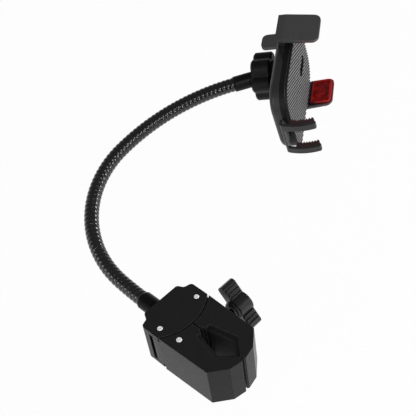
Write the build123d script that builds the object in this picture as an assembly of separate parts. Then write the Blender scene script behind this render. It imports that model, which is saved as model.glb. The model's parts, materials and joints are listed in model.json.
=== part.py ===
# Gooseneck phone holder: a screw clamp, a ringed bending neck and a spring-arm phone cradle.
# Units are millimetres. The origin is the centre of the clamp's opening on its bottom face,
# +Z runs along the clamped bar, +Y points to the rear where the neck leaves, +X to the knob.
import os
from math import asin, cos, radians, sin, sqrt, tan

from build123d import *

os.makedirs("parts", exist_ok=True)

# Clamp, seen in plan
CLAMP_HEIGHT = 37.0
PLATE = 3.5
BRACKET_RISE = 1.5
PIVOT_X = 18.7
PIVOT_Y = 42.0
PIN_R = 2.0
PIN_DOME = 0.6
DIMPLE_R = 0.8
DIMPLE_RISE = 0.5
TANG_R = 6.9
SIDE_X = PIVOT_X + TANG_R
ARC_FRONT_Y = 28.1
ARC_R = 39.5
ARC_CENTRE_Y = ARC_FRONT_Y + ARC_R
ARC_GAP = 1.2
REAR_Y = 61.1
REAR_HALF = 16.8
NOTCH_X = 19.2
NOTCH_Y = 55.9
EAR_Y = 53.9
CORNER_R = 2.6
WEB_HALF = 10.4
WEB_FRONT_Y = 33.0
FRONT_X = 24.0
FRONT_Y = -9.8
JAW_REAR_Y = 38.0
CHAMFER_X = 11.8
CHAMFER_Y = -19.8
NOSE_Y = -22.1
NOSE_EDGE = 1.2
JAW_HALF_GAP = 0.6
PLATE_CLEAR = 0.3
LAP = 1.0
NEAR = 0.2
DOME_SHARE = 0.9
POCKET_CLEAR = 1.7

# Clamp opening and its rubber liners
OPEN_REAR_Y = 16.8
OPEN_REAR_HALF = 6.7
OPEN_WIDE_Y = -5.5
OPEN_WIDE_HALF = 11.5
OPEN_FRONT_Y = -18.6
NICK = 2.4
LINER = 3.0
LINER_SINK = 2.6

# Clamp screw, its barrel nut and the wing knob
SCREW_R = 3.0
SCREW_Y = 24.2
SCREW_DROP = 2.0
SCREW_Z = CLAMP_HEIGHT / 2 - SCREW_DROP
SCREW_END_X = -18.6
SCREW_TIP_EDGE = 0.6
JAW_SWING = 9.0
NUT_X = -16.9
NUT_R = 5.4
NUT_HEIGHT = 15.0
NUT_PIN_R = 2.1
NUT_END_CLEAR = 0.2
RUN_CLEAR = 0.05
SLOT_CLEAR = 0.5
SLOT_FLARE_X = 16.0
WASHER_X = 34.4
WASHER_R = 6.2
WASHER_T = 1.6
KNOB_X = 38.2
KNOB_T = 12.4
KNOB_LONG = 20.2
KNOB_HALF = 4.2
KNOB_HUB_R = 8.4
KNOB_TURN = 48.0
KNOB_CORNER = 3.4
KNOB_CAP = 3.0
KNOB_SPIGOT_R = 7.4
RIDGE_R = 1.25
RIDGE_FIRST = 8.6
RIDGE_STEP = 3.5
RIDGE_COUNT = 3
RIDGE_SINK = 0.25
RIDGE_SHORT = 0.8

# Neck: straight through the ferrule, a small lift, then two arcs in one tilted plane
NECK_R = 6.25
NECK_CORE_R = 5.0
NECK_TAPER_R = 4.6
RING_RIM_HALF = 0.8
RING_ROOT_HALF = 1.5
HINGE_GAP = 0.8
NECK_Z = CLAMP_HEIGHT / 2
FERRULE_R = 7.2
FERRULE_LEN = 23.2
FERRULE_EDGE = 0.8
SPIGOT_R = 6.0
SPIGOT_LEN = 13.0
SEAT_CLEAR = 0.02
LIFT_R = 128.0
LIFT_ANGLE = 11.0
RUN_LEN = 2.0
BEND_R = 90.6
BEND_ANGLE = 87.4
END_R = 198.0
END_ANGLE = 34.6
PLANE_ROLL = 12.9
FIRST_RING_COUNT = 7
BEND_LENGTH_COUNT = 6
END_LENGTH_COUNT = 5
LENGTH_RING_COUNT = 6
TOP_FERRULE_R = 6.95
TOP_FERRULE_LEN = 17.5
TOP_FERRULE_EDGE = 0.6
STUD_R = 3.0
STUD_LEN = 9.5

# Ball joint, along the cradle's forward axis from the ball's centre
BALL_R = 8.5
BALL_CLEAR = 0.3
COLLET_R = 12.6
COLLET_BACK = -3.5
COLLET_FRONT = 0.4
BOSS_R = 13.0
BOSS_BACK = 1.0
LOCK_BORE_R = 13.3
LOCK_BACK = -6.3
LOCK_FRONT = 10.8
LOCK_WALL = 2.7
LOCK_MOUTH_R = 8.6
LOCK_FLARE_R = 12.2
LOCK_BASE_R = 17.6
LOBE_R = 8.0
LOBE_RING = 13.2
LOBE_TURN = 44.0
LOBE_COUNT = 6
LOBE_EDGE = 1.4

# Cradle in its own axes: X away from the foot, Y to the upper arm, Z forward to the phone
FORWARD = Vector(0.5151, -0.8458, 0.1389)
AWAY = Vector(0.8248, 0.5332, 0.1881)
BODY_X = -12.9
BODY_LONG = 103.0
BODY_WIDE = 71.0
BODY_CORNER = 20.0
BACK_Z = 19.0
SPLIT_Z = 28.0
FRONT_Z = 33.0
BACK_EDGE = 5.0
FRONT_EDGE = 0.6
WALL = 2.5
PAD_BASE = 1.2
RIB_HIGH = 0.8
RIB_PITCH = 2.6
RIB_RISE_SHARE = 0.25
RIB_TOP_SHARE = 0.6
RIB_FOOT_SHARE = 0.85
RIB_REACH = 0.75
RIB_TURN = 60.0
PAD_INSET = 0.6
PAD_SLOT_X = 8.6
PAD_SLOT_LONG = 24.0
PAD_SLOT_WIDE = 8.5
SCOOP_LONG = 21.0
SCOOP_DEEP = 1.4
SHELL_SCREW_R = 1.5
SHELL_HEAD_R = 2.6
SHELL_HEAD_T = 1.5
SHELL_SCREW_END = 32.0
SHELL_SCREW_Y = 25.0
SHELL_SCREW_TOP_X = 28.0
SHELL_SCREW_LOW_X = -50.0
CROSS_HALF = 1.6
CROSS_WIDE = 0.7
CROSS_DEEP = 0.9
HEAD_SINK = 0.2

# Spring arms on racks either side of a pinion
ARM_X = 12.0
ARM_WIDE = 32.0
ARM_GRIP_Y = 35.2
ARM_PAD_T = 1.8
ARM_SHELL_T = 3.0
ARM_TIP_T = 2.2
ARM_LEAN = 3.9
ARM_BEND_Z = 27.0
ARM_ROOT_Z = 20.6
ARM_TIP_Z = 57.0
ARM_CORNER = 6.0
TAB_X = -3.8
TAB_WIDE = 16.0
TAB_T = 3.0
TAB_BACK_Z = 9.6
TAB_CORNER = 4.5
PINION_R = 5.0
PINION_POST_R = 2.0
MESH_GAP = 0.3
RACK_WIDE = 8.0
RACK_Z = 23.0
RACK_T = 4.0
RACK_END_Y = -12.0
SLIDE_CLEAR = 0.4
PORT_DEEP = 6.0
ARM_PAD_GAP = 0.6
ARM_PAD_EDGE = 1.6
ARM_PAD_RIM = 2.2
ARM_PAD_DISH = 0.9

# Foot: a sliding plate with two prongs and toothed rubber pads
FOOT_X = -78.5
FOOT_T = 2.7
FOOT_BAR_Z = 27.4
FOOT_CROSS = 8.6
FOOT_BAR_HALF = 10.0
FOOT_BAR_END = -32.0
PRONG_Y = 14.0
PRONG_WIDE = 6.0
PRONG_TIP_R = 1.6
HEEL_R = 3.0
PRONG_ARC_R = 48.0
PRONG_LOW_Z = 42.5
PRONG_TIP_Z = 57.2
FOOT_PAD_T = 4.0
TOOTH_HIGH = 1.6
TOOTH_STEP = 2.6
FOOT_PAD_INSET = 0.4
TOOTH_COUNT = 8
FOOT_PAD_Z = 36.0


def save(shape, name):
    shape.label = name
    export_step(shape, os.path.join("parts", name + ".step"))


def prism(points, low, high):
    face = make_face(Polyline(*points, close=True))
    return Pos(0, 0, low) * extrude(face, high - low)


def round_bar(radius, low, high, x=0.0, y=0.0):
    return Pos(x, y, low) * Cylinder(radius, high - low, align=(Align.CENTER, Align.CENTER, Align.MIN))


def block(x0, x1, y0, y1, z0, z1):
    solid = Box(x1 - x0, y1 - y0, z1 - z0)
    return Pos((x0 + x1) / 2, (y0 + y1) / 2, (z0 + z1) / 2) * solid


def along_x(radius, x0, x1, y, z):
    bar = Cylinder(radius, x1 - x0, align=(Align.CENTER, Align.CENTER, Align.MIN))
    return Pos(x0, y, z) * Rot(0, 90, 0) * bar


def upright_edges(shape, x, y, reach=0.6):
    found = []
    for edge in shape.edges().filter_by(Axis.Z):
        middle = edge.center()
        if abs(middle.X - x) < reach and abs(middle.Y - y) < reach:
            found.append(edge)
    return found


# Bracket: a rear web with a top and a bottom plate, the jaws' round ends turning between them
plates_low = BRACKET_RISE + PLATE
plates_high = CLAMP_HEIGHT - PLATE
rim = [(REAR_HALF, REAR_Y), (NOTCH_X, NOTCH_Y), (SIDE_X, EAR_Y), (SIDE_X, ARC_FRONT_Y)]
rim = rim + [(-x, y) for x, y in reversed(rim)]
bracket = prism(rim, BRACKET_RISE, CLAMP_HEIGHT)
for side in (1, -1):
    bracket = fillet(upright_edges(bracket, side * REAR_HALF, REAR_Y), CORNER_R)
    bracket = fillet(upright_edges(bracket, side * NOTCH_X, NOTCH_Y), CORNER_R)
    bracket = fillet(upright_edges(bracket, side * SIDE_X, EAR_Y), CORNER_R)
bracket = bracket & round_bar(ARC_R, 0, CLAMP_HEIGHT, 0, ARC_CENTRE_Y)
pocket_r = TANG_R + POCKET_CLEAR
pocket = block(-SIDE_X - LAP, SIDE_X + LAP, ARC_FRONT_Y - LAP, PIVOT_Y, plates_low, plates_high)
pocket = pocket - block(-WEB_HALF, WEB_HALF, WEB_FRONT_Y, PIVOT_Y, plates_low, plates_high)
for side in (1, -1):
    pocket = pocket + round_bar(pocket_r, plates_low, plates_high, side * PIVOT_X, PIVOT_Y)
bracket = bracket - pocket
for side in (1, -1):
    bracket = bracket - round_bar(PIN_R, 0, CLAMP_HEIGHT, side * PIVOT_X, PIVOT_Y)
spigot_bore = Cylinder(SPIGOT_R, SPIGOT_LEN, align=(Align.CENTER, Align.CENTER, Align.MIN))
bracket = bracket - Pos(0, REAR_Y, NECK_Z) * Rot(90, 0, 0) * spigot_bore
save(bracket, "clamp_bracket")

# Pivot pins with low domed heads, dimpled in the middle
dome = CLAMP_HEIGHT + PIN_DOME
for side, name in ((-1, "pivot_pin_left"), (1, "pivot_pin_right")):
    pin = round_bar(PIN_R, BRACKET_RISE, dome)
    pin = fillet(pin.edges().sort_by(Axis.Z)[-1], PIN_DOME * DOME_SHARE)
    pin = pin - Pos(0, 0, dome + DIMPLE_RISE) * Sphere(DIMPLE_R)
    save(Pos(side * PIVOT_X, PIVOT_Y, 0) * pin, name)

# Jaws: full height in front of the bracket's arc, a tang between the plates behind it
tang_low = plates_low + PLATE_CLEAR
tang_high = plates_high - PLATE_CLEAR
swing = tan(radians(JAW_SWING))
bore_half = SCREW_R + SLOT_CLEAR
opening = [(0, OPEN_REAR_Y), (OPEN_REAR_HALF, OPEN_REAR_Y)]
opening = opening + [(OPEN_WIDE_HALF, OPEN_WIDE_Y), (0, OPEN_FRONT_Y)]


def jaw_body():
    nose_slope = (CHAMFER_Y - NOSE_Y) / (CHAMFER_X - JAW_HALF_GAP)
    front = [(JAW_HALF_GAP, NOSE_Y + NOSE_EDGE), (JAW_HALF_GAP + NOSE_EDGE, NOSE_Y + NOSE_EDGE * nose_slope)]
    front = front + [(CHAMFER_X, CHAMFER_Y), (FRONT_X, FRONT_Y)]
    front = front + [(SIDE_X, JAW_REAR_Y), (JAW_HALF_GAP, JAW_REAR_Y)]
    jaw = prism(front, 0, CLAMP_HEIGHT)
    jaw = jaw - round_bar(ARC_R + ARC_GAP, 0, CLAMP_HEIGHT, 0, ARC_CENTRE_Y)
    jaw = jaw - prism(opening, 0, CLAMP_HEIGHT)
    jaw = jaw - block(0, NICK, OPEN_REAR_Y - LAP, OPEN_REAR_Y + NICK, 0, CLAMP_HEIGHT)
    tang = block(PIVOT_X - TANG_R, SIDE_X, SCREW_Y, PIVOT_Y, tang_low, tang_high)
    tang = tang + round_bar(TANG_R, tang_low, tang_high, PIVOT_X, PIVOT_Y)
    sides = [(0, NOSE_Y), (CHAMFER_X, CHAMFER_Y), (FRONT_X, FRONT_Y), (SIDE_X, JAW_REAR_Y)]
    sides = sides + [(SIDE_X, PIVOT_Y + TANG_R), (0, PIVOT_Y + TANG_R)]
    jaw = jaw + (tang & prism(sides, tang_low, tang_high))
    return jaw - round_bar(PIN_R + RUN_CLEAR, 0, CLAMP_HEIGHT, PIVOT_X, PIVOT_Y)


right_jaw = jaw_body()
slot_in = bore_half + SIDE_X * swing
slot_out = bore_half + (SIDE_X - SLOT_FLARE_X) * swing
slot = [(-LAP, SCREW_Y - bore_half), (-LAP, SCREW_Y + slot_in), (SIDE_X + LAP, SCREW_Y + bore_half)]
slot = slot + [(SIDE_X + LAP, SCREW_Y - slot_out), (SLOT_FLARE_X, SCREW_Y - bore_half)]
right_jaw = right_jaw - prism(slot, SCREW_Z - bore_half, SCREW_Z + bore_half)
save(right_jaw, "right_jaw")

left_jaw = mirror(jaw_body(), Plane.YZ)
left_jaw = left_jaw - round_bar(NUT_PIN_R + RUN_CLEAR, 0, CLAMP_HEIGHT, NUT_X, SCREW_Y)
nut_low = SCREW_Z - NUT_HEIGHT / 2
nut_high = SCREW_Z + NUT_HEIGHT / 2
drum_low = nut_low - NUT_END_CLEAR
drum_high = nut_high + NUT_END_CLEAR
left_jaw = left_jaw - round_bar(NUT_R + RUN_CLEAR, drum_low, drum_high, NUT_X, SCREW_Y)
left_slot_in = bore_half + SLIDE_CLEAR - NUT_X * swing
left_slot = [(NUT_X, SCREW_Y - bore_half), (NUT_X, SCREW_Y + bore_half + SLIDE_CLEAR)]
left_slot = left_slot + [(LAP, SCREW_Y + left_slot_in), (LAP, SCREW_Y - bore_half)]
left_jaw = left_jaw - prism(left_slot, SCREW_Z - bore_half, SCREW_Z + bore_half)
save(left_jaw, "left_jaw")

# Rubber liners on the two walls of each jaw's half of the opening
full_opening = opening + [(-x, y) for x, y in reversed(opening[1:-1])]
mouth = make_face(Polyline(*full_opening, close=True))
band = mouth - offset(mouth, -LINER, kind=Kind.INTERSECTION)
liner_low = LINER_SINK
liner_high = CLAMP_HEIGHT - LINER_SINK
ring = Pos(0, 0, liner_low) * extrude(band, liner_high - liner_low)
rear_half = OPEN_REAR_HALF - LINER
ring = ring - block(-rear_half, rear_half, OPEN_REAR_Y - 2 * LINER, OPEN_REAR_Y, 0, CLAMP_HEIGHT)
right_half = block(JAW_HALF_GAP, SIDE_X, NOSE_Y, SCREW_Y, 0, CLAMP_HEIGHT)
right_liner = ring & right_half
save(right_liner, "right_liner")
save(mirror(right_liner, Plane.YZ), "left_liner")

# Barrel nut: a drum inside the left jaw, its pins running out to the jaw's faces
barrel_nut = round_bar(NUT_R, nut_low, nut_high)
barrel_nut = barrel_nut + round_bar(NUT_PIN_R, PLATE_CLEAR, dome)
barrel_nut = fillet(barrel_nut.edges().sort_by(Axis.Z)[-1], PIN_DOME * DOME_SHARE)
barrel_nut = barrel_nut - Pos(0, 0, dome + DIMPLE_RISE) * Sphere(DIMPLE_R)
barrel_nut = Pos(NUT_X, SCREW_Y, 0) * barrel_nut
cross_bore = along_x(SCREW_R + RUN_CLEAR, NUT_X - 2 * NUT_R, NUT_X + 2 * NUT_R, SCREW_Y, SCREW_Z)
barrel_nut = barrel_nut - cross_bore
save(barrel_nut, "barrel_nut")

# Screw, washer and wing knob, the wings lying in the plane across the screw
knob_end = KNOB_X + KNOB_T
screw = along_x(SCREW_R, SCREW_END_X, knob_end - KNOB_CAP, SCREW_Y, SCREW_Z)
screw = chamfer(screw.edges().sort_by(Axis.X)[0], SCREW_TIP_EDGE)
save(screw, "clamp_screw")
washer = along_x(WASHER_R, WASHER_X, WASHER_X + WASHER_T, SCREW_Y, SCREW_Z)
washer = washer - along_x(SCREW_R + RUN_CLEAR, WASHER_X - LAP, KNOB_X, SCREW_Y, SCREW_Z)
save(washer, "screw_washer")

wing = block(-KNOB_LONG, KNOB_LONG, -KNOB_HALF, KNOB_HALF, 0, KNOB_T)
wing = fillet(wing.edges().filter_by(Axis.Z), KNOB_CORNER)
wing = wing + round_bar(KNOB_HUB_R, 0, KNOB_T)
for end in (1, -1):
    for edge in (1, -1):
        for step in range(RIDGE_COUNT):
            place = end * (RIDGE_FIRST + step * RIDGE_STEP)
            across = edge * (KNOB_HALF - RIDGE_SINK)
            wing = wing + round_bar(RIDGE_R, RIDGE_SHORT, KNOB_T - RIDGE_SHORT, place, across)
hub_low = WASHER_X + WASHER_T - KNOB_X
wing = wing + round_bar(KNOB_SPIGOT_R, hub_low, 0)
wing = wing - round_bar(SCREW_R, hub_low, KNOB_T - KNOB_CAP)
knob = Pos(KNOB_X, SCREW_Y, SCREW_Z) * Rot(0, 90, 0) * Rot(0, 0, 90 + KNOB_TURN) * wing
save(knob, "clamp_knob")

# Lower ferrule, its spigot seated in the bracket's web
lower_ferrule = Cylinder(FERRULE_R, FERRULE_LEN, align=(Align.CENTER, Align.CENTER, Align.MIN))
lower_ferrule = chamfer(lower_ferrule.edges().sort_by(Axis.Z)[-1], FERRULE_EDGE)
spigot = Cylinder(SPIGOT_R - SEAT_CLEAR, SPIGOT_LEN, align=(Align.CENTER, Align.CENTER, Align.MAX))
lower_ferrule = lower_ferrule + spigot
save(Pos(0, REAR_Y, NECK_Z) * Rot(-90, 0, 0) * lower_ferrule, "lower_ferrule")

# The neck's route, walked piece by piece as a point and a heading
lift = radians(LIFT_ANGLE)
lift_axis = Vector(1, 0, 0)
heading = Vector(0, cos(lift), sin(lift))
sideways = Vector(cos(radians(PLANE_ROLL)), 0, sin(radians(PLANE_ROLL)))
plane_axis = heading.cross(sideways).normalized()


def turned(vector, axis, angle):
    return vector.rotate(Axis((0, 0, 0), axis), angle)


def walk_arc(start, along, axis, radius, angle):
    inward = axis.cross(along).normalized()
    centre = start + inward * radius
    there = centre + turned(start - centre, axis, angle)
    return there, turned(along, axis, angle)


def core_arc(start, along, axis, radius, angle):
    inward = axis.cross(along).normalized()
    centre = start + inward * radius
    section = Plane(origin=start, z_dir=along) * Circle(NECK_CORE_R)
    return revolve(section, Axis(centre, axis), angle)


def core_run(start, along, length):
    return extrude(Plane(origin=start, z_dir=along) * Circle(NECK_CORE_R), length)


def ring_at(spot, along):
    half = [(0, -RING_ROOT_HALF), (NECK_TAPER_R, -RING_ROOT_HALF), (NECK_R, -RING_RIM_HALF)]
    half = half + [(x, -z) for x, z in reversed(half)]
    profile = Plane.XZ * make_face(Polyline(*half, close=True))
    disc = revolve(profile, Axis.Z)
    return Plane(origin=spot, z_dir=along).location * disc


neck_point = Vector(0, REAR_Y + FERRULE_LEN, NECK_Z)
neck_heading = Vector(0, 1, 0)

# First length: fixed in the ferrule, lifts the neck and runs straight for a little
lift_end, lift_heading = walk_arc(neck_point, neck_heading, lift_axis, LIFT_R, LIFT_ANGLE)
core = core_arc(neck_point, neck_heading, lift_axis, LIFT_R, LIFT_ANGLE)
core = core + core_run(lift_end, lift_heading, RUN_LEN - HINGE_GAP / 2)
lift_len = LIFT_R * lift
first_pitch = (lift_len + RUN_LEN) / FIRST_RING_COUNT
rings = []
for count in range(FIRST_RING_COUNT):
    travel = (count + 0.5) * first_pitch
    if travel < lift_len:
        part_way = LIFT_ANGLE * travel / lift_len
        spot, facing = walk_arc(neck_point, neck_heading, lift_axis, LIFT_R, part_way)
    else:
        spot = lift_end + lift_heading * (travel - lift_len)
        facing = lift_heading
    rings.append(ring_at(spot, facing))
save(core.fuse(*rings), "neck_length_01")
neck_point = lift_end + lift_heading * RUN_LEN
neck_heading = lift_heading

# Further lengths: each an even share of an arc, with a narrow gap at the bend between two
made = ["neck_length_01"]
arcs = [(BEND_R, BEND_ANGLE, BEND_LENGTH_COUNT), (END_R, END_ANGLE, END_LENGTH_COUNT)]
for radius, angle, lengths in arcs:
    share = angle / lengths
    gap = HINGE_GAP / 2 / radians(1) / radius
    for count in range(lengths):
        last = len(made) == BEND_LENGTH_COUNT + END_LENGTH_COUNT
        start, facing = walk_arc(neck_point, neck_heading, plane_axis, radius, gap)
        sweep = share - gap if last else share - 2 * gap
        core = core_arc(start, facing, plane_axis, radius, sweep)
        rings = []
        for ring_number in range(LENGTH_RING_COUNT):
            part_way = share * (ring_number + 0.5) / LENGTH_RING_COUNT
            spot, facing = walk_arc(neck_point, neck_heading, plane_axis, radius, part_way)
            rings.append(ring_at(spot, facing))
        made.append(f"neck_length_{len(made) + 1:02d}")
        save(core.fuse(*rings), made[-1])
        neck_point, neck_heading = walk_arc(neck_point, neck_heading, plane_axis, radius, share)

# Upper ferrule and the ball on its stud
top_axis = Plane(origin=neck_point, z_dir=neck_heading)
top_ferrule = Cylinder(TOP_FERRULE_R, TOP_FERRULE_LEN, align=(Align.CENTER, Align.CENTER, Align.MIN))
top_ferrule = chamfer(top_ferrule.edges().filter_by(GeomType.CIRCLE), TOP_FERRULE_EDGE)
save(top_axis.location * top_ferrule, "upper_ferrule")
ball_at = TOP_FERRULE_LEN + STUD_LEN
stud = round_bar(STUD_R, TOP_FERRULE_LEN, ball_at)
ball_stud = stud + Pos(0, 0, ball_at) * Sphere(BALL_R)
save(top_axis.location * ball_stud, "ball_stud")

# The cradle is modelled in its own axes about the ball's centre, then set in place
ball_centre = neck_point + neck_heading * ball_at
cradle = Plane(origin=ball_centre, x_dir=AWAY, z_dir=FORWARD)


def save_cradle(shape, name):
    save(cradle.location * shape, name)


# Collet ring behind the ball and the lobed lock nut over it
collet = round_bar(COLLET_R, COLLET_BACK, COLLET_FRONT) - Sphere(BALL_R + BALL_CLEAR)
save_cradle(collet, "ball_collet")
lock = round_bar(LOCK_BASE_R, LOCK_BACK, LOCK_FRONT)
lock = chamfer(lock.edges().filter_by(GeomType.CIRCLE), LOBE_EDGE)
lobe = round_bar(LOBE_R, LOCK_BACK, LOCK_FRONT)
lobe = chamfer(lobe.edges().filter_by(GeomType.CIRCLE), LOBE_EDGE)
for count in range(LOBE_COUNT):
    turn = radians(360 / LOBE_COUNT * count + LOBE_TURN)
    lock = lock + Pos(LOBE_RING * cos(turn), LOBE_RING * sin(turn), 0) * lobe
lock = lock - round_bar(LOCK_BORE_R, LOCK_BACK + LOCK_WALL, LOCK_FRONT)
mouth_cone = Cone(LOCK_FLARE_R, LOCK_MOUTH_R, LOCK_WALL, align=(Align.CENTER, Align.CENTER, Align.MIN))
lock = lock - Pos(0, 0, LOCK_BACK) * mouth_cone
save_cradle(lock, "lock_nut")

# Cradle shells: a rounded rectangle split between a back and a front moulding
body_face = Pos(BODY_X, 0) * RectangleRounded(BODY_LONG, BODY_WIDE, BODY_CORNER)
inner_long = BODY_LONG - 2 * WALL
inner_wide = BODY_WIDE - 2 * WALL
inner_face = Pos(BODY_X, 0) * RectangleRounded(inner_long, inner_wide, BODY_CORNER - WALL)
flank = BODY_WIDE / 2
rack_inner = ARM_X + PINION_R + MESH_GAP
rack_outer = rack_inner + RACK_WIDE
low_inner = ARM_X - PINION_R - MESH_GAP
low_outer = low_inner - RACK_WIDE
screw_spots = []
for x in (SHELL_SCREW_TOP_X, SHELL_SCREW_LOW_X):
    screw_spots.append((x, SHELL_SCREW_Y))
    screw_spots.append((x, -SHELL_SCREW_Y))

back_shell = Pos(0, 0, BACK_Z) * extrude(body_face, SPLIT_Z - BACK_Z)
back_shell = fillet(back_shell.edges().group_by(Axis.Z)[0], BACK_EDGE)
back_shell = back_shell - Pos(0, 0, BACK_Z + WALL) * extrude(inner_face, SPLIT_Z - BACK_Z)
back_shell = back_shell + round_bar(BOSS_R, BOSS_BACK, BACK_Z + WALL)
back_shell = back_shell - Sphere(BALL_R + BALL_CLEAR)
back_shell = back_shell + round_bar(PINION_POST_R, BACK_Z + WALL, RACK_Z + RACK_T, ARM_X, 0)
rack_floor = RACK_Z - SLIDE_CLEAR
port_half = (RACK_WIDE + 2 * SLIDE_CLEAR) / 2
port = block(-port_half, port_half, -PORT_DEEP, PORT_DEEP, rack_floor, SPLIT_Z)
upper_port = Pos((rack_inner + rack_outer) / 2, flank, 0) * port
lower_port = Pos((low_inner + low_outer) / 2, -flank, 0) * port
foot_half = FOOT_BAR_HALF + SLIDE_CLEAR
foot_end = BODY_X - BODY_LONG / 2
foot_low = FOOT_BAR_Z - SLIDE_CLEAR
foot_high = FOOT_BAR_Z + FOOT_T + SLIDE_CLEAR
foot_port = block(foot_end - PORT_DEEP, foot_end + PORT_DEEP, -foot_half, foot_half, foot_low, foot_high)
back_shell = back_shell - upper_port - lower_port - foot_port
scoop = [(0, BACK_Z + BACK_EDGE / 2), (0, SPLIT_Z), (-SCOOP_LONG, SPLIT_Z)]
scoop_face = make_face(Polyline(*scoop, close=True))
for side in (1, -1):
    cut = Plane(origin=(0, side * flank, 0), x_dir=(1, 0, 0), z_dir=(0, -1, 0)) * scoop_face
    back_shell = back_shell - extrude(cut, SCOOP_DEEP * side, dir=(0, -1, 0))
for x, y in screw_spots:
    back_shell = back_shell - round_bar(SHELL_SCREW_R + SEAT_CLEAR, BACK_Z, SPLIT_Z, x, y)
    back_shell = back_shell - round_bar(SHELL_HEAD_R + SEAT_CLEAR, BACK_Z, BACK_Z + SHELL_HEAD_T, x, y)
save_cradle(back_shell, "cradle_back")

front_shell = Pos(0, 0, SPLIT_Z) * extrude(body_face, FRONT_Z - SPLIT_Z)
front_shell = chamfer(front_shell.edges().group_by(Axis.Z)[-1], FRONT_EDGE)
front_shell = front_shell - Pos(0, 0, SPLIT_Z) * extrude(inner_face, FRONT_Z - SPLIT_Z - WALL)
front_shell = front_shell - foot_port
for x, y in screw_spots:
    front_shell = front_shell - round_bar(SHELL_SCREW_R + SEAT_CLEAR, SPLIT_Z, SHELL_SCREW_END, x, y)
save_cradle(front_shell, "cradle_front")

shell_screws = []
for x, y in screw_spots:
    head = round_bar(SHELL_HEAD_R, BACK_Z + HEAD_SINK, BACK_Z + SHELL_HEAD_T, x, y)
    shank = round_bar(SHELL_SCREW_R, BACK_Z + SHELL_HEAD_T, SHELL_SCREW_END, x, y)
    bar = block(-CROSS_HALF, CROSS_HALF, -CROSS_WIDE / 2, CROSS_WIDE / 2, 0, CROSS_DEEP)
    cross = Pos(x, y, BACK_Z) * (bar + Rot(0, 0, 90) * bar)
    shell_screws.append(head + shank - cross)
save_cradle(Compound(children=shell_screws), "shell_screws")

# Grip pad: a rubber sheet with diagonal ribs and one slot on the middle line
pad_long = BODY_LONG - 2 * PAD_INSET
pad_wide = BODY_WIDE - 2 * PAD_INSET
pad_face = Pos(BODY_X, 0) * RectangleRounded(pad_long, pad_wide, BODY_CORNER - PAD_INSET)
pad = Pos(0, 0, FRONT_Z) * extrude(pad_face, PAD_BASE + RIB_HIGH)
reach = (pad_long + pad_wide) / 2 * RIB_REACH
rib_count = int(2 * reach / RIB_PITCH)
comb = [(-reach, FRONT_Z)]
for count in range(rib_count):
    left = -reach + count * RIB_PITCH
    comb.append((left, FRONT_Z + PAD_BASE))
    comb.append((left + RIB_PITCH * RIB_RISE_SHARE, FRONT_Z + PAD_BASE + RIB_HIGH))
    comb.append((left + RIB_PITCH * RIB_TOP_SHARE, FRONT_Z + PAD_BASE + RIB_HIGH))
    comb.append((left + RIB_PITCH * RIB_FOOT_SHARE, FRONT_Z + PAD_BASE))
comb.append((-reach + rib_count * RIB_PITCH, FRONT_Z + PAD_BASE))
comb.append((-reach + rib_count * RIB_PITCH, FRONT_Z))
comb_plane = Plane(origin=(0, reach, 0), x_dir=(1, 0, 0), z_dir=(0, -1, 0))
comb_face = comb_plane * make_face(Polyline(*comb, close=True))
ribs = extrude(comb_face, 2 * reach)
pad = pad & (Pos(BODY_X, 0, 0) * Rot(0, 0, RIB_TURN) * ribs)
slot_face = Pos(PAD_SLOT_X, 0) * SlotOverall(PAD_SLOT_LONG, PAD_SLOT_WIDE)
pad = pad - Pos(0, 0, FRONT_Z) * extrude(slot_face, PAD_BASE + RIB_HIGH)
save_cradle(pad, "grip_pad")

# Arms: a rack bar into the body, a leaning grip plate in front and a finger tab behind
grip_in = ARM_GRIP_Y + ARM_PAD_T
root_in = grip_in + ARM_LEAN
root_out = root_in + ARM_SHELL_T
head_outline = [(root_in, ARM_ROOT_Z), (grip_in, ARM_TIP_Z), (grip_in + ARM_TIP_T, ARM_TIP_Z)]
head_outline = head_outline + [(root_out, ARM_BEND_Z), (root_out, ARM_ROOT_Z)]


def arm_head():
    low_x = ARM_X - ARM_WIDE / 2
    side_plane = Plane(origin=(low_x, 0, 0), x_dir=(0, 1, 0), z_dir=(1, 0, 0))
    head = extrude(side_plane * make_face(Polyline(*head_outline, close=True)), ARM_WIDE)
    corners = []
    for edge in head.edges():
        middle = edge.center()
        if middle.Z > ARM_TIP_Z - NEAR and abs(abs(middle.X - ARM_X) - ARM_WIDE / 2) < NEAR:
            corners.append(edge)
    head = fillet(corners, ARM_CORNER)
    tab_low = TAB_X - TAB_WIDE / 2
    tab = block(tab_low, tab_low + TAB_WIDE, root_out - TAB_T, root_out, TAB_BACK_Z, ARM_ROOT_Z + TAB_T)
    tab = fillet(tab.edges().filter_by(Axis.Y).group_by(Axis.Z)[0], TAB_CORNER)
    return head + tab


upper_arm = arm_head() + block(rack_inner, rack_outer, RACK_END_Y, root_in + LAP, RACK_Z, RACK_Z + RACK_T)
save_cradle(upper_arm, "upper_arm")
lower_arm = mirror(arm_head(), Plane.XZ)
lower_arm = lower_arm + block(low_outer, low_inner, -root_in - LAP, -RACK_END_Y, RACK_Z, RACK_Z + RACK_T)
save_cradle(lower_arm, "lower_arm")

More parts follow.
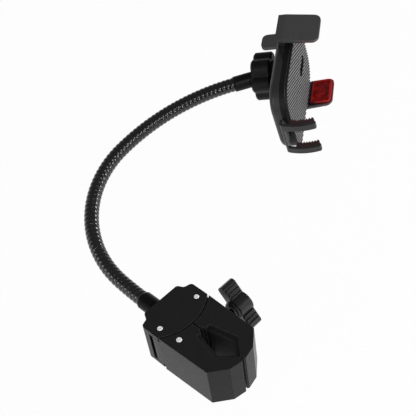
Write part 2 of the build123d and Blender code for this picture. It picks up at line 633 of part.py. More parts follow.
# Arm pads: red rubber plates with a raised rim, lying on the leaning faces
lean = ARM_LEAN / (ARM_TIP_Z - ARM_ROOT_Z)
pad_low_z = FRONT_Z + PAD_BASE + RIB_HIGH + ARM_PAD_GAP
pad_high_z = ARM_TIP_Z - ARM_PAD_EDGE
near_y = grip_in + lean * (ARM_TIP_Z - pad_low_z)
far_y = grip_in + lean * (ARM_TIP_Z - pad_high_z)
arm_pad_outline = [(near_y, pad_low_z), (far_y, pad_high_z)]
arm_pad_outline = arm_pad_outline + [(far_y - ARM_PAD_T, pad_high_z), (near_y - ARM_PAD_T, pad_low_z)]
pad_half = ARM_WIDE / 2 - ARM_PAD_EDGE
pad_sketch = Plane(origin=(ARM_X - pad_half, 0, 0), x_dir=(0, 1, 0), z_dir=(1, 0, 0))
arm_pad = extrude(pad_sketch * make_face(Polyline(*arm_pad_outline, close=True)), 2 * pad_half)
pad_corners = []
for edge in arm_pad.edges():
    middle = edge.center()
    if middle.Z > pad_high_z - NEAR and abs(abs(middle.X - ARM_X) - pad_half) < NEAR:
        pad_corners.append(edge)
arm_pad = fillet(pad_corners, ARM_CORNER - ARM_PAD_EDGE)
dish_low = pad_low_z + ARM_PAD_RIM
dish_high = pad_high_z - ARM_PAD_RIM
dish_near = near_y - ARM_PAD_T - lean * ARM_PAD_RIM
dish_far = far_y - ARM_PAD_T + lean * ARM_PAD_RIM
dish_outline = [(dish_near + ARM_PAD_DISH, dish_low), (dish_far + ARM_PAD_DISH, dish_high)]
dish_outline = dish_outline + [(dish_far - 2 * LAP, dish_high), (dish_near - 2 * LAP, dish_low)]
dish_half = pad_half - ARM_PAD_RIM
dish_sketch = Plane(origin=(ARM_X - dish_half, 0, 0), x_dir=(0, 1, 0), z_dir=(1, 0, 0))
arm_pad = arm_pad - extrude(dish_sketch * make_face(Polyline(*dish_outline, close=True)), 2 * dish_half)
save_cradle(arm_pad, "upper_arm_pad")
save_cradle(mirror(arm_pad, Plane.XZ), "lower_arm_pad")

# Pinion between the two racks, on the back shell's post
pinion = round_bar(PINION_R, RACK_Z, RACK_Z + RACK_T, ARM_X, 0)
pinion = pinion - round_bar(PINION_POST_R + RUN_CLEAR, RACK_Z, RACK_Z + RACK_T, ARM_X, 0)
save_cradle(pinion, "arm_pinion")

# Foot: sliding bar, crosspiece and two prongs, with toothed pads on their upper faces
foot_bar_front = FOOT_BAR_Z + FOOT_T
under_foot = FOOT_BAR_Z - LAP
arc_x = FOOT_X + PRONG_ARC_R
pad_arc = PRONG_ARC_R - FOOT_T
cross_half = PRONG_Y + PRONG_WIDE / 2


def arc_bar(radius):
    return Pos(arc_x, 0, PRONG_LOW_Z) * Rot(90, 0, 0) * Cylinder(radius, 2 * cross_half + LAP)


prong_band = arc_bar(PRONG_ARC_R) - arc_bar(pad_arc)
foot = block(FOOT_X, FOOT_BAR_END, -FOOT_BAR_HALF, FOOT_BAR_HALF, FOOT_BAR_Z, foot_bar_front)
foot = foot + block(FOOT_X, FOOT_X + FOOT_CROSS, -cross_half, cross_half, FOOT_BAR_Z, foot_bar_front)
below_arc = block(FOOT_X - LAP, FOOT_X + FOOT_CROSS, -cross_half, cross_half, under_foot, foot_bar_front)
foot = foot - (below_arc - arc_bar(PRONG_ARC_R))
for side in (1, -1):
    left = side * PRONG_Y - PRONG_WIDE / 2
    right = left + PRONG_WIDE
    prong = prong_band & block(FOOT_X, arc_x, left, right, FOOT_BAR_Z, PRONG_TIP_Z)
    tip = prong.edges().filter_by(Axis.Y).group_by(Axis.Z)[-1]
    foot = foot + fillet(tip.sort_by(Axis.X)[0], PRONG_TIP_R)
heel_z = FOOT_BAR_Z + HEEL_R
heel_x = arc_x - sqrt((PRONG_ARC_R - HEEL_R) ** 2 - (PRONG_LOW_Z - heel_z) ** 2)
heel = block(FOOT_X - LAP, heel_x, -cross_half, cross_half, under_foot, heel_z)
heel = heel - Pos(heel_x, 0, heel_z) * Rot(90, 0, 0) * Cylinder(HEEL_R, 2 * cross_half)
foot = foot - heel
save_cradle(foot, "foot")


def on_arc(radius, turn):
    return arc_x - radius * cos(turn), PRONG_LOW_Z + radius * sin(turn)


first_turn = asin((FOOT_PAD_Z - PRONG_LOW_Z) / pad_arc)
tooth_turn = TOOTH_STEP / pad_arc
tooth_root = pad_arc - FOOT_PAD_T
teeth = [on_arc(pad_arc + 2 * LAP, first_turn), on_arc(tooth_root, first_turn)]
for count in range(TOOTH_COUNT):
    turn = first_turn + count * tooth_turn
    teeth.append(on_arc(tooth_root - TOOTH_HIGH, turn + tooth_turn / 2))
    teeth.append(on_arc(tooth_root, turn + tooth_turn))
teeth.append(on_arc(pad_arc + 2 * LAP, first_turn + TOOTH_COUNT * tooth_turn))
teeth_face = make_face(Polyline(*teeth, close=True))
foot_pad_wide = PRONG_WIDE - 2 * FOOT_PAD_INSET
for side, name in ((1, "upper_foot_pad"), (-1, "lower_foot_pad")):
    seat = Plane(origin=(0, side * PRONG_Y + foot_pad_wide / 2, 0), x_dir=(1, 0, 0), z_dir=(0, -1, 0))
    save_cradle(extrude(seat * teeth_face, foot_pad_wide) & arc_bar(pad_arc), name)
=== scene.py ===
# %% [markdown]
# A phone holder on a bendable neck: a screw clamp grips a bar, a wound steel neck rises from it in
# one sweep, and a ball joint carries the cradle that holds the phone. The solids come from the CAD
# frame. This lesson gives them their finishes, and rebuilds two things that a plain solid shows
# poorly: the neck's wound wire, which has to bend without a break, and the screw's thread.

# %% Load the frame
import json
import math

import bmesh
import bpy
from mathutils import Matrix, Vector


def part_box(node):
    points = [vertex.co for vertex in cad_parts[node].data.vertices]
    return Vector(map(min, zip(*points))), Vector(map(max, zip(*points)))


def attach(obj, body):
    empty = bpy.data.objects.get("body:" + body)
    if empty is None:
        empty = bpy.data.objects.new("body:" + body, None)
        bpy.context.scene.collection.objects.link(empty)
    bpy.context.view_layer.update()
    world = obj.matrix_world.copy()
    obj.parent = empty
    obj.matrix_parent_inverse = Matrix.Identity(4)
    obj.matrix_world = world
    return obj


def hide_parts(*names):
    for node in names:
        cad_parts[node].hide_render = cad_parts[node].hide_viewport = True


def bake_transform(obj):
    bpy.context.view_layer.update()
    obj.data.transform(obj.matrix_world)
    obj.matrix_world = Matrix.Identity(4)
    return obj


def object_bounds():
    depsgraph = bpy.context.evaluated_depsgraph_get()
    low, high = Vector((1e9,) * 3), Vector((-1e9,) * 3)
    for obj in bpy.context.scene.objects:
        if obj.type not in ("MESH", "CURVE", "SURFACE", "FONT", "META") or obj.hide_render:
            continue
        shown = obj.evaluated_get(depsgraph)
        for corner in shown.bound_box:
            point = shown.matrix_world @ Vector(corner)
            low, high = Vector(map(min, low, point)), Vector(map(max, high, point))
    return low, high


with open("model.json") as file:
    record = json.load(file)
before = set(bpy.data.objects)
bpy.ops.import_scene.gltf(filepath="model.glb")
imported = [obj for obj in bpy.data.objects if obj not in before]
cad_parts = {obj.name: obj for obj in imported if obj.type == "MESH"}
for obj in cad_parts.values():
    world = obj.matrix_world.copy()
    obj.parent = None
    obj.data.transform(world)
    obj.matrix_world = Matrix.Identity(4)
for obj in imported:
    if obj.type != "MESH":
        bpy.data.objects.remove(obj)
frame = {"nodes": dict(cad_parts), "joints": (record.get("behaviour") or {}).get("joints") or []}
cad_low, cad_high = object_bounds()
nodes = frame["nodes"]
joints = {joint["name"]: joint for joint in frame["joints"]}
MM = 0.001

# %% [markdown]
# The camera stands in front of the clamp's left corner and looks down on it. Its place was worked
# out from the clamp's straight edges in the photograph, so it is given as a point, the direction it
# looks in and the direction that is down in the picture. The lens suits a square picture.

# %% Camera
EYE = Vector((-0.19704, -0.24170, 0.46098))
LOOK = Vector((0.46840, 0.55498, -0.68746))
PICTURE_DOWN = Vector((-0.55239, -0.42330, -0.71811))
LENS_MM = 64.65
SENSOR_MM = 36.0
NEAREST = 10 * MM

camera_data = bpy.data.cameras.new("photo_camera")
camera_data.lens = LENS_MM
camera_data.sensor_width = SENSOR_MM
camera_data.clip_start = NEAREST
camera = bpy.data.objects.new("photo_camera", camera_data)
back = -LOOK.normalized()
up = -(PICTURE_DOWN - PICTURE_DOWN.dot(back) * back).normalized()
across = up.cross(back)
camera.matrix_world = Matrix((
    (across.x, up.x, back.x, EYE.x),
    (across.y, up.y, back.y, EYE.y),
    (across.z, up.z, back.z, EYE.z),
    (0, 0, 0, 1),
))
bpy.context.scene.collection.objects.link(camera)
bpy.context.scene.camera = camera
print("camera", [round(value, 3) for value in EYE], "lens", LENS_MM)

# %% [markdown]
# Finishes are node trees. Wiring them by hand is slow to read, so one small class stands for the
# output of a node: sums and products of it add the Math nodes that work them out. Every other kind
# of node comes from one method, which takes the node's type, its settings and its sockets.

# %% Shader helper
class Wire:
    """A shader output that Python can do sums with."""

    def __init__(self, tree, socket):
        self.tree = tree
        self.socket = socket

    def node(self, kind, settings=None, output=0, **sockets):
        made = self.tree.nodes.new("ShaderNode" + kind)
        for name, value in (settings or {}).items():
            if name == "stops":
                ramp = made.color_ramp.elements
                while len(ramp) < len(value):
                    ramp.new(0.5)
                for stop, (place, grey) in zip(ramp, value):
                    stop.position = place
                    stop.color = (grey, grey, grey, 1)
            else:
                setattr(made, name, value)
        for name, value in sockets.items():
            # i0, i1 and so on pick a socket by its number, and any other word picks it by its name.
            key = int(name[1:]) if name[1:].isdigit() else name.replace("_", " ")
            if isinstance(value, Wire):
                self.tree.links.new(value.socket, made.inputs[key])
            else:
                made.inputs[key].default_value = value
        return Wire(self.tree, made.outputs[output])

    def sum(self, operation, first, second=0.0):
        return self.node("Math", {"operation": operation}, i0=first, i1=second)

    def __add__(self, other):
        return self.sum("ADD", self, other)

    def __radd__(self, other):
        return self.sum("ADD", other, self)

    def __sub__(self, other):
        return self.sum("SUBTRACT", self, other)

    def __rsub__(self, other):
        return self.sum("SUBTRACT", other, self)

    def __mul__(self, other):
        return self.sum("MULTIPLY", self, other)

    def __rmul__(self, other):
        return self.sum("MULTIPLY", other, self)

    def __abs__(self):
        return self.sum("ABSOLUTE", self)

    def larger(self, other):
        return self.sum("MAXIMUM", self, other)

    def mix(self, low, high):
        return self.node("Mix", {"data_type": "RGBA"}, output=2, i0=self, i6=low, i7=high)

    def dot(self, axis):
        return self.node("VectorMath", {"operation": "DOT_PRODUCT"}, output=1, i0=self, i1=axis)

    def rise(self, low, high):
        settings = {"interpolation_type": "SMOOTHSTEP"}
        return self.node("MapRange", settings, Value=self, From_Min=low, From_Max=high)


EDGE_SAMPLES = 6
# How well the rounded normal agrees with the flat one, on an edge with the painted highlight and on a whole
# face.
HIGHLIGHT_EDGE, WHOLE_FACE = 0.75, 0.99


class Finish:
    """A material: noise in the part's own millimetres, and one shader to feed."""

    def __init__(self, name):
        self.material = bpy.data.materials.new(name)
        self.material.use_nodes = True
        tree = self.material.node_tree
        self.shader = tree.nodes["Principled BSDF"]
        self.tree = tree
        self.place = Wire(tree, tree.nodes.new("ShaderNodeTexCoord").outputs["Object"])

    def noise(self, grain_mm, detail=3.0):
        settings = {"noise_dimensions": "3D"}
        scale = 1 / (grain_mm * MM)
        return self.place.node("TexNoise", settings, Vector=self.place, Scale=scale, Detail=detail)

    def feed(self, **sockets):
        for name, value in sockets.items():
            socket = self.shader.inputs[name.replace("_", " ")]
            if isinstance(value, Wire):
                self.tree.links.new(value.socket, socket)
            else:
                socket.default_value = value
        return self.material

    def rounded(self, edge_mm):
        return self.place.node("Bevel", {"samples": EDGE_SAMPLES}, Radius=edge_mm * MM)

    def bump(self, height, depth_mm, edge_mm=0.0):
        if not edge_mm:
            return self.place.node("Bump", Height=height, Distance=depth_mm * MM)
        edge = self.rounded(edge_mm)
        return self.place.node("Bump", Height=height, Distance=depth_mm * MM, Normal=edge)

    # Paler edges are a painted highlight, placed where the rounded normal turns away from the flat one.
    def painted_edge_highlight(self, edge_mm):
        flat = Wire(self.tree, self.tree.nodes.new("ShaderNodeNewGeometry").outputs["Normal"])
        return 1 - flat.dot(self.rounded(edge_mm)).rise(HIGHLIGHT_EDGE, WHOLE_FACE)


def grey(level, warmth=0.0):
    return (level * (1 + warmth), level, level * (1 - warmth), 1)


print("helpers ready")

# %% [markdown]
# The clamp's bracket and jaws are black anodised aluminium: a fine blasted grain, a dull sheen, and
# edges that the tumbling has just broken. Two noises, one fine and one broad, move the colour and the
# roughness. A Bevel node rounds the light on the edges by a fraction of a millimetre, and where it
# turns away from the flat face the black is painted a little paler, as a painted highlight on the edges.

# %% Anodised clamp
def blasted_black():
    finish = Finish("blasted_black_aluminium")
    fine = finish.noise(grain_mm=0.35, detail=2.0)
    broad = finish.noise(grain_mm=9.0, detail=3.0)
    cloud = fine * 0.6 + broad * 0.4
    black = cloud.mix(grey(0.011), grey(0.019))
    # The paler grey painted on the edges is a painted highlight.
    edge_highlight_grey = grey(0.08)
    return finish.feed(
        Base_Color=finish.painted_edge_highlight(edge_mm=0.35).mix(black, edge_highlight_grey),
        Roughness=0.22 + 0.14 * cloud,
        Specular_IOR_Level=0.11,
        Normal=finish.bump(fine, depth_mm=0.05, edge_mm=0.45),
    )


clamp_finish = blasted_black()
print("made", clamp_finish.name)

# %% [markdown]
# Plastic mouldings come out of a spark-eroded tool, so their skin is a fine pebble. The cradle's two
# shells, the arms, foot, knob and lock nut share the recipe. They differ in how dark, dull and shiny
# they are, and the knob's pebble is shallower. The front shell is painted far darker than the back
# shell, as painted shade for the recess between the flank and the grip pad.

# %% Moulded plastics
def pebbled_plastic(name, dark, light, dull, shine, depth_mm=0.04):
    finish = Finish(name)
    pebble = finish.noise(grain_mm=0.5, detail=2.0)
    drift = finish.noise(grain_mm=14.0, detail=2.0)
    cloud = pebble * 0.45 + drift * 0.55
    return finish.feed(
        Base_Color=cloud.mix(grey(dark), grey(light)),
        Roughness=dull - 0.08 + 0.16 * cloud,
        Specular_IOR_Level=shine,
        Normal=finish.bump(pebble, depth_mm, edge_mm=0.5),
    )


body_finish = pebbled_plastic("cradle_plastic", dark=0.018, light=0.033, dull=0.40, shine=0.3)
# The front shell is painted much darker than the back shell: painted shade for the recess beside the grip
# pad.
front_shade_finish = pebbled_plastic("cradle_front_painted_shade", dark=0.005, light=0.010, dull=0.45, shine=0.15)
arm_finish = pebbled_plastic("arm_plastic", dark=0.038, light=0.056, dull=0.5, shine=0.5)
foot_finish = pebbled_plastic("foot_plastic", dark=0.015, light=0.029, dull=0.44, shine=0.35)
knob_finish = pebbled_plastic("knob_plastic", dark=0.006, light=0.014, dull=0.26, shine=0.5, depth_mm=0.008)
nut_finish = pebbled_plastic("lock_nut_plastic", dark=0.004, light=0.008, dull=0.4, shine=0.15)
print("made", body_finish.name, front_shade_finish.name, arm_finish.name, foot_finish.name)
print("made", knob_finish.name, nut_finish.name)

# %% [markdown]
# Rubber is duller than plastic and a little dusty. The clamp's liners are black, and the foot's
# toothed pads are black with a touch of red. A mottle and a fine skin are enough for them.

# %% Black rubbers
def soft_rubber(name, dark, light, dull, mottle_mm):
    finish = Finish(name)
    mottle = finish.noise(mottle_mm, detail=3.0)
    skin = finish.noise(grain_mm=0.3, detail=2.0)
    return finish.feed(
        Base_Color=(mottle * 0.7 + skin * 0.3).mix(dark, light),
        Roughness=dull + 0.14 * skin,
        Specular_IOR_Level=0.25,
        Normal=finish.bump(skin, depth_mm=0.03, edge_mm=0.25),
    )


TOOTH_DARK = (0.030, 0.012, 0.012, 1)
TOOTH_LIGHT = (0.050, 0.022, 0.022, 1)
liner_finish = soft_rubber("black_liner_rubber", grey(0.006), grey(0.013), dull=0.6, mottle_mm=5.0)
tooth_finish = soft_rubber("foot_pad_rubber", TOOTH_DARK, TOOTH_LIGHT, dull=0.55, mottle_mm=3.0)
print("made", liner_finish.name, tooth_finish.name)

# %% [markdown]
# The grip pad's ribs are in its mesh. The grooves between them are painted near black, as painted shade,
# while the rib tops keep the rubber's grey. Height above the pad's face tells the two apart: it is the
# distance along the cradle's own forward axis, which the frame gives as the axis that the cradle turns
# about.

# %% Ribbed grip pad
cradle_forward = Vector(joints["cradle_turn"]["axis"]).normalized()
cradle_away = Vector(joints["foot_slide"]["axis"]).normalized()


def reach(name, axis):
    along = [corner.co.dot(axis) for corner in nodes[name].data.vertices]
    return min(along), max(along)


RIB_HIGH = 0.8 * MM
GROOVE_SHADE_FROM = 0.4 * RIB_HIGH
GROOVE_SHADE_TO = 0.02 * RIB_HIGH
pad_low, pad_high = reach("grip_pad", cradle_forward)


def ribbed_rubber():
    finish = Finish("grey_pad_rubber")
    mottle = finish.noise(grain_mm=7.0, detail=3.0)
    skin = finish.noise(grain_mm=0.3, detail=2.0)
    height = finish.place.dot(cradle_forward)
    # The rib tops keep the rubber's grey, and lower down the pad is painted near black as painted shade in
    # the grooves.
    clear_of_groove_shade = height.rise(pad_high - GROOVE_SHADE_FROM, pad_high - GROOVE_SHADE_TO)
    top = (mottle * 0.6 + skin * 0.4).mix(grey(0.10), grey(0.19))
    # The groove colour is painted shade.
    groove = grey(0.006)
    return finish.feed(
        Base_Color=clear_of_groove_shade.mix(groove, top),
        Roughness=0.52 + 0.14 * skin,
        Specular_IOR_Level=0.3,
        Normal=finish.bump(skin, depth_mm=0.03),
    )


pad_finish = ribbed_rubber()
print("made", pad_finish.name, "pad thickness", round((pad_high - pad_low) / MM, 2))

# %% [markdown]
# The arm linings are glossy red silicone with a raised rim round a shallow dish. A painted highlight runs
# along the rim, the dish is deeper in colour, and the cut edge is painted almost black as painted shade.
# The rim is whatever lies near the lining's border, and the shaded edge is the part of it that lies well
# below the rim's top. Both are measured in the cradle's own axes, depth from the plane between the arms, so
# one finish suits both.

# %% Red arm linings
RIM = 2.3 * MM
RIM_FADE = 0.7
CORNER = 1.6 * MM
SUNK = 1.7 * MM
EDGE_SHADE_FADE = 0.8
DEEP_RED = (0.14, 0.002, 0.002, 1)
DISH_RED = (0.46, 0.007, 0.006, 1)
# The rim colour is a painted highlight, and the edge colour is painted shade on the cut edge.
RIM_HIGHLIGHT_RED = (0.60, 0.012, 0.011, 1)
EDGE_SHADE_RED = (0.012, 0.002, 0.002, 1)
away_low, away_high = reach("upper_arm_pad", cradle_away)
front_low, front_high = reach("upper_arm_pad", cradle_forward)
cradle_side = cradle_forward.cross(cradle_away)
pad_spans = sorted([reach("upper_arm_pad", cradle_side), reach("lower_arm_pad", cradle_side)])
between_pads = (pad_spans[0][1] + pad_spans[1][0]) / 2
half_between = (pad_spans[1][0] - pad_spans[0][1]) / 2


def rimmed_red():
    finish = Finish("red_lining_rubber")
    mottle = finish.noise(grain_mm=5.0, detail=3.0)
    skin = finish.noise(grain_mm=0.4, detail=2.0)
    along = finish.place.dot(cradle_away) - (away_low + away_high) / 2
    forth = finish.place.dot(cradle_forward) - (front_low + front_high) / 2
    past_side = abs(along) - (away_high - away_low) / 2
    past_end = abs(forth) - (front_high - front_low) / 2
    border = past_side.larger(past_end)
    dish = mottle.rise(0.3, 0.75).mix(DEEP_RED, DISH_RED)
    # A painted highlight runs along the rim.
    rim = border.rise(-RIM, -RIM_FADE * RIM)
    aside = finish.place.dot(cradle_side) - between_pads
    sunk = abs(aside) - half_between
    # The cut edge below the rim's top is painted almost black: painted shade.
    edge = border.rise(-CORNER, -EDGE_SHADE_FADE * CORNER) * sunk.rise(EDGE_SHADE_FADE * SUNK, SUNK)
    silicone = rim.mix(dish, RIM_HIGHLIGHT_RED)
    return finish.feed(
        Base_Color=edge.mix(silicone, EDGE_SHADE_RED),
        Roughness=0.3 + 0.12 * skin,
        Specular_IOR_Level=0.25,
        Normal=finish.bump(skin, depth_mm=0.03, edge_mm=0.3),
    )


red_finish = rimmed_red()
print("made", red_finish.name, "lining", round((away_high - away_low) / MM, 1), "mm wide")

# %% [markdown]
# The pivot pins and the barrel nut are satin zinc, pale from any side. The washer is zinc painted dark,
# and the screws are dark steel: both are painted shade under the knob. The neck and its two ferrules are
# blackened steel: nearly black, and on the wire glossy enough for each turn to catch a spark.

# %% Metals
def bare_steel(name, dark, light, dull, metal):
    finish = Finish(name)
    scuff = finish.noise(grain_mm=0.8, detail=4.0)
    return finish.feed(
        Base_Color=scuff.mix(grey(dark), grey(light, warmth=0.01)),
        Metallic=metal,
        Roughness=dull + 0.2 * scuff,
        Normal=finish.bump(scuff, depth_mm=0.02, edge_mm=0.15),
    )


def black_steel(name, dark, light, dull, shine, edge_mm):
    finish = Finish(name)
    scuff = finish.noise(grain_mm=1.2, detail=4.0)
    return finish.feed(
        Base_Color=scuff.mix(grey(dark), grey(light)),
        Roughness=dull + 0.18 * scuff,
        Specular_IOR_Level=shine,
        Normal=finish.bump(scuff, depth_mm=0.03, edge_mm=edge_mm),
    )


pin_finish = bare_steel("satin_zinc_pin", dark=0.80, light=0.94, dull=0.45, metal=0.25)
# The washer and the clamp screw are painted dark as painted shade under the knob, and the shell screws
# share the screw's finish.
washer_shade_finish = bare_steel("zinc_washer_painted_shade", dark=0.05, light=0.10, dull=0.4, metal=1.0)
screw_shade_finish = bare_steel("steel_screw_painted_shade", dark=0.03, light=0.06, dull=0.34, metal=1.0)
wire_finish = black_steel("black_wound_wire", dark=0.004, light=0.010, dull=0.09, shine=0.6, edge_mm=0.0)
ferrule_finish = black_steel("black_ferrule", dark=0.003, light=0.007, dull=0.26, shine=0.12, edge_mm=0.5)
print("made", pin_finish.name, washer_shade_finish.name, screw_shade_finish.name)
print("made", wire_finish.name, ferrule_finish.name)

# %% [markdown]
# Each solid from the frame takes its finish by assigning to its material slots. The table goes from
# finish to pieces, so that no solid that shows keeps the frame's plain colour. The neck's lengths are
# not in it, because the wound wire takes their place further on.

# %% Dress the solids
FINISH_OF = {
    clamp_finish: ["clamp_bracket", "left_jaw", "right_jaw"],
    liner_finish: ["left_liner", "right_liner"],
    pin_finish: ["pivot_pin_left", "pivot_pin_right", "barrel_nut"],
    washer_shade_finish: ["screw_washer"],
    screw_shade_finish: ["clamp_screw", "shell_screws"],
    knob_finish: ["clamp_knob"],
    ferrule_finish: ["lower_ferrule", "upper_ferrule", "ball_stud"],
    nut_finish: ["lock_nut", "ball_collet", "arm_pinion"],
    body_finish: ["cradle_back"],
    front_shade_finish: ["cradle_front"],
    arm_finish: ["upper_arm", "lower_arm"],
    foot_finish: ["foot"],
    pad_finish: ["grip_pad"],
    red_finish: ["upper_arm_pad", "lower_arm_pad"],
    tooth_finish: ["upper_foot_pad", "lower_foot_pad"],
}


def dress(piece, finish):
    piece.data.materials.clear()
    piece.data.materials.append(finish)


for finish, names in FINISH_OF.items():
    for name in names:
        dress(nodes[name], finish)
print("dressed", sum(len(names) for names in FINISH_OF.values()), "solids")

# %% [markdown]
# The neck's centre line is already in the frame: each hinge of the neck is a point on it, and the
# hinges that sway have an axis square to it. Between two hinges the line is an arc, so the heading at
# one end is the heading at the other, mirrored in the chord. A cubic between two points with those
# headings follows such a short arc to a hair's breadth.

# %% The neck's centre line, read from the joints
def hinge_name(number):
    kind = "bend" if number % 2 == 0 else "sway"
    return f"neck_{kind}_{number // 2 + 1}"


HINGES = sum(1 for name in joints if name.startswith("neck_"))
plane_axis = Vector(joints["neck_bend_1"]["axis"]).normalized()
hinge_points = [Vector(joints[hinge_name(number)]["pos_m"]) for number in range(HINGES)]


def mirrored(heading, chord):
    along = chord.normalized()
    return 2 * heading.dot(along) * along - heading


second_heading = Vector(joints["neck_sway_1"]["axis"]).cross(plane_axis).normalized()
headings = [mirrored(second_heading, hinge_points[1] - hinge_points[0]), second_heading]
for number in range(1, HINGES - 1):
    headings.append(mirrored(headings[number], hinge_points[number + 1] - hinge_points[number]))

last_turn = Matrix.Rotation(headings[-2].angle(headings[-1]), 3, plane_axis)
ferrule_low, ferrule_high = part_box("lower_ferrule")
neck_start = Vector((0, ferrule_high.y, (ferrule_low.z + ferrule_high.z) / 2))
neck_end = hinge_points[-1] + last_turn @ (hinge_points[-1] - hinge_points[-2])
stations = [neck_start] + hinge_points + [neck_end]
headings = [Vector((0, 1, 0))] + headings + [last_turn @ headings[-1]]
print("stations", len(stations), "last", [round(value, 4) for value in neck_end])

# %% [markdown]
# The neck is wire wound on a flexible core. Cutting the skin at the hinges would open a gap there when
# the neck moves, so it is cut half way between them: each stretch of skin spans one hinge. Neighbours
# meet half way along a length, and the winding runs through without a break.

# %% Wind the wire round the centre line
WIRE_OUT = 6.25 * MM
WIRE_ROOT = 5.65 * MM
WIRE_PITCH = 4.1 * MM
BEAD_CROWN = 0.65
ROUND_STEPS = 40
STEPS_PER_TURN = 14
ARC_OVER_CHORD = 1.003


def cubic(piece, share):
    first, last = stations[piece], stations[piece + 1]
    pull = (last - first).length * ARC_OVER_CHORD
    lead, trail = headings[piece] * pull, headings[piece + 1] * pull
    square, cube = share * share, share ** 3
    spot = first * (2 * cube - 3 * square + 1) + lead * (cube - 2 * square + share)
    spot = spot + last * (3 * square - 2 * cube) + trail * (cube - square)
    along = first * (6 * square - 6 * share) + lead * (3 * square - 4 * share + 1)
    along = along + last * (6 * share - 6 * square) + trail * (3 * square - 2 * share)
    return spot, along.normalized()


lengths = [(stations[piece + 1] - stations[piece]).length for piece in range(len(stations) - 1)]


def bead(turn):
    phase = turn % 1.0
    return math.sin(math.pi * phase) ** BEAD_CROWN


def tube(name, loops, finish):
    """A closed mesh piece over loops of points, with flat caps."""
    around = len(loops[0])
    mesh = bmesh.new()
    rings = [[mesh.verts.new(point) for point in loop] for loop in loops]
    for first, last in zip(rings, rings[1:]):
        for count in range(around):
            ahead = (count + 1) % around
            mesh.faces.new((first[count], first[ahead], last[ahead], last[count]))
    mesh.faces.new(list(reversed(rings[0])))
    mesh.faces.new(rings[-1])
    bmesh.ops.recalc_face_normals(mesh, faces=mesh.faces)
    data = bpy.data.meshes.new(name)
    mesh.to_mesh(data)
    mesh.free()
    piece = bpy.data.objects.new(name, data)
    bpy.context.scene.collection.objects.link(piece)
    dress(piece, finish)
    return piece


def wind(name, pieces):
    """One closed stretch of wound skin over parts of the line: (piece, from share, to share)."""
    loops = []
    for piece, begin, stop in pieces:
        steps = max(2, round(lengths[piece] * (stop - begin) / WIRE_PITCH * STEPS_PER_TURN))
        for step in range(steps + 1):
            if loops and step == 0:
                continue
            share = begin + (stop - begin) * step / steps
            spot, along = cubic(piece, share)
            travel = sum(lengths[:piece]) + lengths[piece] * share
            side = (plane_axis - plane_axis.dot(along) * along).normalized()
            inward = along.cross(side)
            loop = []
            for count in range(ROUND_STEPS):
                angle = 2 * math.pi * count / ROUND_STEPS
                turn = travel / WIRE_PITCH + count / ROUND_STEPS
                radius = WIRE_ROOT + (WIRE_OUT - WIRE_ROOT) * bead(turn)
                outward = math.cos(angle) * side + math.sin(angle) * inward
                loop.append(spot + radius * outward)
            loops.append(loop)
    skin = tube(name, loops, wire_finish)
    for face in skin.data.polygons:
        face.use_smooth = len(face.vertices) == 4
    return skin


def body_after(number):
    return "bracket" if number == 0 else f"neck_{number + 1:02d}"


root_skin = wind("neck_wire_root", [(0, 0.0, 0.5)])
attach(root_skin, "bracket")
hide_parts("neck_length_01")
for number in range(HINGES):
    skin = wind(f"neck_wire_{number + 1:02d}", [(number, 0.5, 1.0), (number + 1, 0.0, 0.5)])
    start = cubic(number, 0.5)[0]
    end = cubic(number + 1, 0.5)[0]
    body_after(number)
    body_after(number + 1)
    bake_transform(skin)
    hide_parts(f"neck_length_{number + 2:02d}")
tip_skin = wind("neck_wire_tip", [(HINGES, 0.5, 1.0)])
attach(tip_skin, body_after(HINGES))
print("neck stretches", HINGES + 2, "faces in one", len(skin.data.polygons))

# %% [markdown]
# The clamp's screw is a solid bar in the frame. The real one is threaded, so a helical groove is cut
# into the same bar: one loop of points after another along the axis. On each loop the radius falls into
# the groove at one place, which goes round the screw once a pitch. The tip tapers in over two pitches.

# %% Thread the clamp screw
THREAD_PITCH = 1.0 * MM
THREAD_DEEP = 0.5 * MM
THREAD_ROUND = 28
THREAD_STEPS = 6
TIP_LENGTH = 2 * THREAD_PITCH

screw_low, screw_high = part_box("clamp_screw")
screw_radius = (screw_high.z - screw_low.z) / 2
screw_axis = Vector((0, (screw_low.y + screw_high.y) / 2, (screw_low.z + screw_high.z) / 2))
screw_length = screw_high.x - screw_low.x
thread_loops = []
steps = round(screw_length / THREAD_PITCH * THREAD_STEPS)
for step in range(steps + 1):
    along = screw_length * step / steps
    lead_in = min(1.0, along / TIP_LENGTH)
    loop = []
    for count in range(THREAD_ROUND):
        angle = 2 * math.pi * count / THREAD_ROUND
        phase = (along / THREAD_PITCH - count / THREAD_ROUND) % 1.0
        groove = abs(2 * phase - 1)
        radius = screw_radius - THREAD_DEEP * (1 - lead_in) - THREAD_DEEP * groove * lead_in
        offset = Vector((screw_low.x + along, radius * math.cos(angle), radius * math.sin(angle)))
        loop.append(screw_axis + offset)
    thread_loops.append(loop)
thread = tube("screw_thread", thread_loops, screw_shade_finish)
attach(thread, "knob")
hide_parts("clamp_screw")
print("thread faces", len(thread.data.polygons))

# %% [markdown]
# The photograph's table is white. The floor is a pale sheet that glows almost white for the camera, and
# for rays that mirror off or pass through a surface, so that polished pieces show it too. A small share
# is lit by the lamps alone, which leaves a faint shadow in place.

# %% Floor
FLOOR_HALF = 3.0
FLOOR_GAP = 0.2 * MM
GLOW_SHARE = 0.97
floor_mesh = bpy.data.meshes.new("floor")
corners = [(x * FLOOR_HALF, y * FLOOR_HALF) for x, y in ((-1, -1), (1, -1), (1, 1), (-1, 1))]
floor_mesh.from_pydata([(x, y, cad_low.z - FLOOR_GAP) for x, y in corners], [], [(0, 1, 2, 3)])
floor = bpy.data.objects.new("floor", floor_mesh)
bpy.context.scene.collection.objects.link(floor)

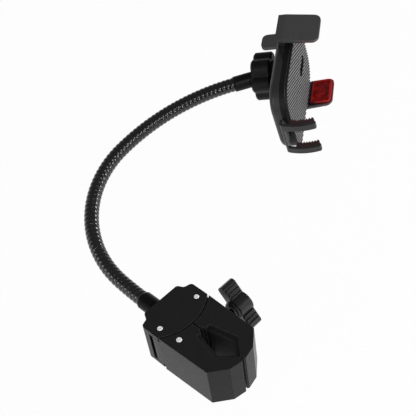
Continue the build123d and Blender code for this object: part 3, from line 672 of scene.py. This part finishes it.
paper = Finish("white_table")
fibre = paper.noise(grain_mm=4.0, detail=2.0)
paper.feed(Base_Color=fibre.mix(grey(0.68), grey(0.72)), Roughness=0.8)
rays = paper.tree.nodes.new("ShaderNodeLightPath")
seen = Wire(paper.tree, rays.outputs["Is Camera Ray"])
seen = seen + Wire(paper.tree, rays.outputs["Is Glossy Ray"])
seen = seen + Wire(paper.tree, rays.outputs["Is Transmission Ray"])
glow = paper.place.node("Emission", Color=grey(1.0), Strength=1.0)
lit = Wire(paper.tree, paper.shader.outputs["BSDF"])
blended = paper.place.node("MixShader", i0=seen * GLOW_SHARE, i1=lit, i2=glow)
paper.tree.links.new(blended.socket, paper.tree.nodes["Material Output"].inputs["Surface"])
dress(floor, paper.material)
print("floor at", round(cad_low.z, 4))

# %% [markdown]
# Product shots of black things keep the ceiling dim, so that level faces stay black, and let the pale
# table and walls shine on the upright ones. The world is a soft gradient from pale walls to a dim
# ceiling. One large lamp near the camera lights what faces it, two smaller ones shape the sides, and
# a tiny one puts the sparks on the wound neck.

# %% Studio light
WALL_TO_CEILING = [(0.02, 0.85), (0.25, 0.55), (0.6, 0.22)]
WALL_STRENGTH = 0.8
world = bpy.data.worlds.new("studio")
bpy.context.scene.world = world
world.use_nodes = True
sky_tree = world.node_tree
direction = Wire(sky_tree, sky_tree.nodes.new("ShaderNodeTexCoord").outputs["Generated"])
height = direction.node("SeparateXYZ", output=2, Vector=direction)
dim = direction.node("ValToRGB", {"stops": WALL_TO_CEILING}, Fac=height)
sky_tree.links.new(dim.socket, sky_tree.nodes["Background"].inputs["Color"])
sky_tree.nodes["Background"].inputs["Strength"].default_value = WALL_STRENGTH
middle = (cad_low + cad_high) / 2


def softbox(name, place, size, power):
    lamp = bpy.data.lights.new(name, "AREA")
    lamp.size = size
    lamp.energy = power
    holder = bpy.data.objects.new(name, lamp)
    holder.location = place
    holder.rotation_mode = "QUATERNION"
    holder.rotation_quaternion = (middle - Vector(place)).to_track_quat("-Z", "Y")
    bpy.context.scene.collection.objects.link(holder)


softbox("camera_side_box", place=(-0.45, -0.75, 0.95), size=0.5, power=5.0)
softbox("left_box", place=(-0.9, 0.25, 0.35), size=0.4, power=2.2)
softbox("right_front_box", place=(0.85, -0.6, 0.35), size=0.4, power=9.0)
softbox("spark_lamp", place=(-0.56, -0.60, 0.22), size=0.06, power=1.6)
bpy.context.scene.view_settings.view_transform = "Standard"

# %% [markdown]
# Last, the view layer is brought up to date.

# %% Update the view layer
bpy.context.view_layer.update()
